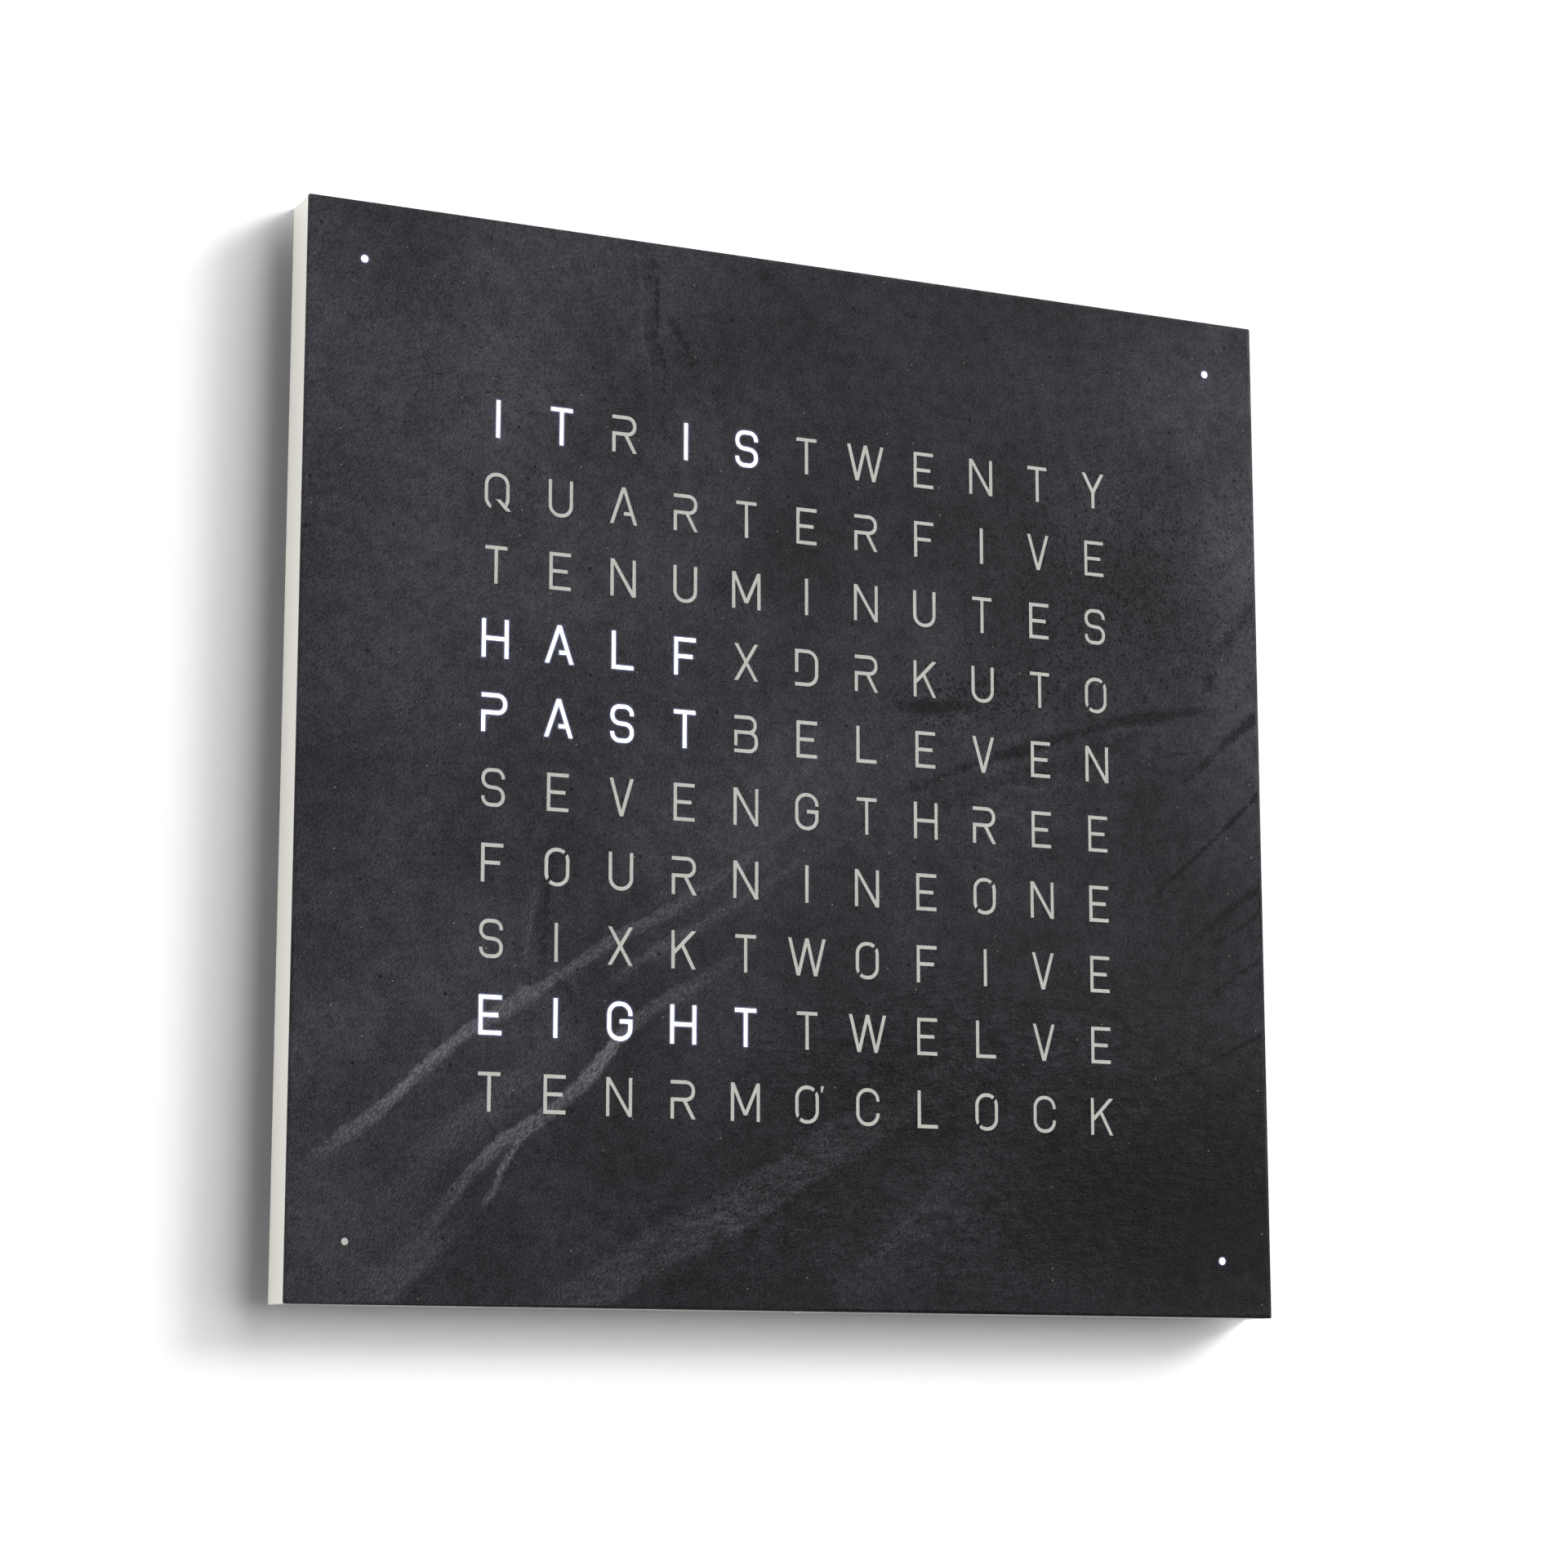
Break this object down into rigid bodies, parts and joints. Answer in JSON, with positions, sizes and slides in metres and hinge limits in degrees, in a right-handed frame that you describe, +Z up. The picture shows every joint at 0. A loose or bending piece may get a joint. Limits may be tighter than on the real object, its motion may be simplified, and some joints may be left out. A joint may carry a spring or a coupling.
{
  "type": "word clock",
  "caption": "Flat square wall clock: slate face with cut-through letters lit from behind, on a shallow lacquered tray with keyhole hangers.",
  "frame": {"origin": "centre of the back face, which lies on the wall", "axes": "+Z up, +X to the right of someone facing the clock, -Y out of the wall towards them"},
  "size_m": [0.45, 0.02, 0.45],
  "materials": {
    "slate": "riven",
    "cream_acrylic": "satin cast acrylic",
    "letter_light": "lit opal resin",
    "opal_resin": "opal resin, unlit",
    "cream_lacquer": "satin lacquer on fibreboard",
    "steel": "zinc plated",
    "dark_steel": "blackened",
    "nickel": "nickel plated",
    "white_board": "white solder mask",
    "green_board": "green solder mask",
    "led_white": "phosphor filled",
    "chip_black": "moulded epoxy",
    "white_plastic": "moulded",
    "lead_white": "flat cable",
    "aluminium_can": "drawn can",
    "black_plastic": "moulded",
    "clear_plastic": "clear",
    "grey_plastic": "fine texture",
    "button_plastic": "moulded"
  },
  "bodies": {
    "wall_unit": {"tray": "cream_lacquer", "cover_magnets": "nickel", "locating_pins": "steel", "light_board": "white_board", "letter_leds": "led_white", "led_drivers": "chip_black", "light_grid": "white_plastic", "light_board_spacers": "white_plastic", "light_board_screws": "steel", "minute_boards": "white_board", "minute_leds": "led_white", "minute_light_tubes": "white_plastic", "minute_leads": "lead_white", "minute_board_spacers": "white_plastic", "minute_board_screws": "steel", "controller_board": "green_board", "controller_chip": "chip_black", "controller_spacers": "white_plastic", "controller_screws": "steel", "clock_crystal": "nickel", "power_regulator": "chip_black", "power_capacitor": "aluminium_can", "power_inlet": "black_plastic", "power_inlet_pin": "nickel", "cell_holder": "black_plastic", "coin_cell": "steel", "battery_clip": "nickel", "switch_bases": "black_plastic", "ribbon_headers": "white_plastic", "ribbon_cable": "lead_white", "light_sensor": "clear_plastic", "sensor_light_pipe": "clear_plastic", "service_cover": "grey_plastic", "service_cover_screws": "dark_steel", "hanger_plate_left": "steel", "hanger_plate_right": "steel", "hanger_screws": "dark_steel"},
    "front_cover": {"slate_face": "slate", "opal_panel": "cream_acrylic", "lit_letters": "letter_light", "unlit_letters": "opal_resin", "lit_minute_dots": "letter_light", "unlit_minute_dot": "opal_resin", "strike_discs": "steel"},
    "mode_key": {"mode_button": "button_plastic", "mode_switch_stem": "black_plastic"},
    "minus_key": {"minus_button": "button_plastic", "minus_switch_stem": "black_plastic"},
    "plus_key": {"plus_button": "button_plastic", "plus_switch_stem": "black_plastic"}
  },
  "joints": [
    {"name": "cover_lift_off", "type": "slide", "parent": "wall_unit", "child": "front_cover", "axis": [0, -1, 0], "range_m": [0, 0.04]},
    {"name": "mode_press", "type": "slide", "parent": "wall_unit", "child": "mode_key", "axis": [0, -1, 0], "range_m": [0, 0.0006], "stiffness_N_per_m": 3000},
    {"name": "minus_press", "type": "slide", "parent": "wall_unit", "child": "minus_key", "axis": [0, -1, 0], "range_m": [0, 0.0006], "stiffness_N_per_m": 3000},
    {"name": "plus_press", "type": "slide", "parent": "wall_unit", "child": "plus_key", "axis": [0, -1, 0], "range_m": [0, 0.0006], "stiffness_N_per_m": 3000}
  ]
}
